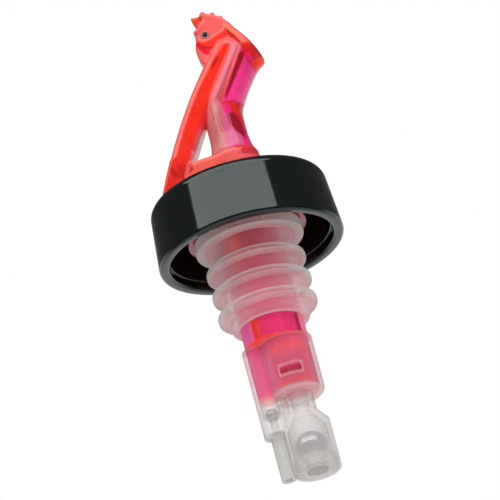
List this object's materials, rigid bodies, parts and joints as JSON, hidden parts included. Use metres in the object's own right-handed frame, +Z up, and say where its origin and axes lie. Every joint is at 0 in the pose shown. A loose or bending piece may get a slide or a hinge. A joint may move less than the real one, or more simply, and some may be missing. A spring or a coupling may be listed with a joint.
{
  "type": "measured liquor pourer",
  "caption": "Bottle pourer with a finned stopper, a black collar, a curved red spout topped by a rooster head, and a clear metering chamber whose steel balls stop the flow after a serving.",
  "frame": {"origin": "on the stopper's axis, in the plane of the bottle's lip, which is the underside of the stopper's flange", "axes": "+Z up out of the bottle along the stopper's axis, +X the way the spout pours, +Y away from the inlet window"},
  "size_m": [0.0443, 0.0442, 0.1202],
  "materials": {
    "red_plastic": "see-through red moulding with glowing edges",
    "pink_plastic": "see-through pink-red moulding",
    "eye_black": "gloss black",
    "black_plastic": "polished black",
    "frosted_soft_plastic": "soft frosted natural plastic",
    "clear_plastic": "natural see-through plastic",
    "steel": "polished steel"
  },
  "bodies": {
    "pourer": {"spout_top": "red_plastic", "eye_beads": "eye_black", "collar": "black_plastic", "stem": "pink_plastic", "stopper": "frosted_soft_plastic", "metering_housing": "clear_plastic", "cage_end_ring": "clear_plastic"},
    "shutoff": {"shutoff_ball": "steel"},
    "check": {"check_ball": "steel"},
    "breather": {"breather_ball": "steel"}
  },
  "joints": [
    {"name": "shutoff_slide", "type": "slide", "parent": "pourer", "child": "shutoff", "axis": [0, 0, 1], "range_m": [0, 0.006]},
    {"name": "check_slide", "type": "slide", "parent": "pourer", "child": "check", "axis": [0, 0, 1], "range_m": [0, 0.0046]},
    {"name": "breather_slide", "type": "slide", "parent": "pourer", "child": "breather", "axis": [0, 0, 1], "range_m": [0, 0.0023]}
  ]
}
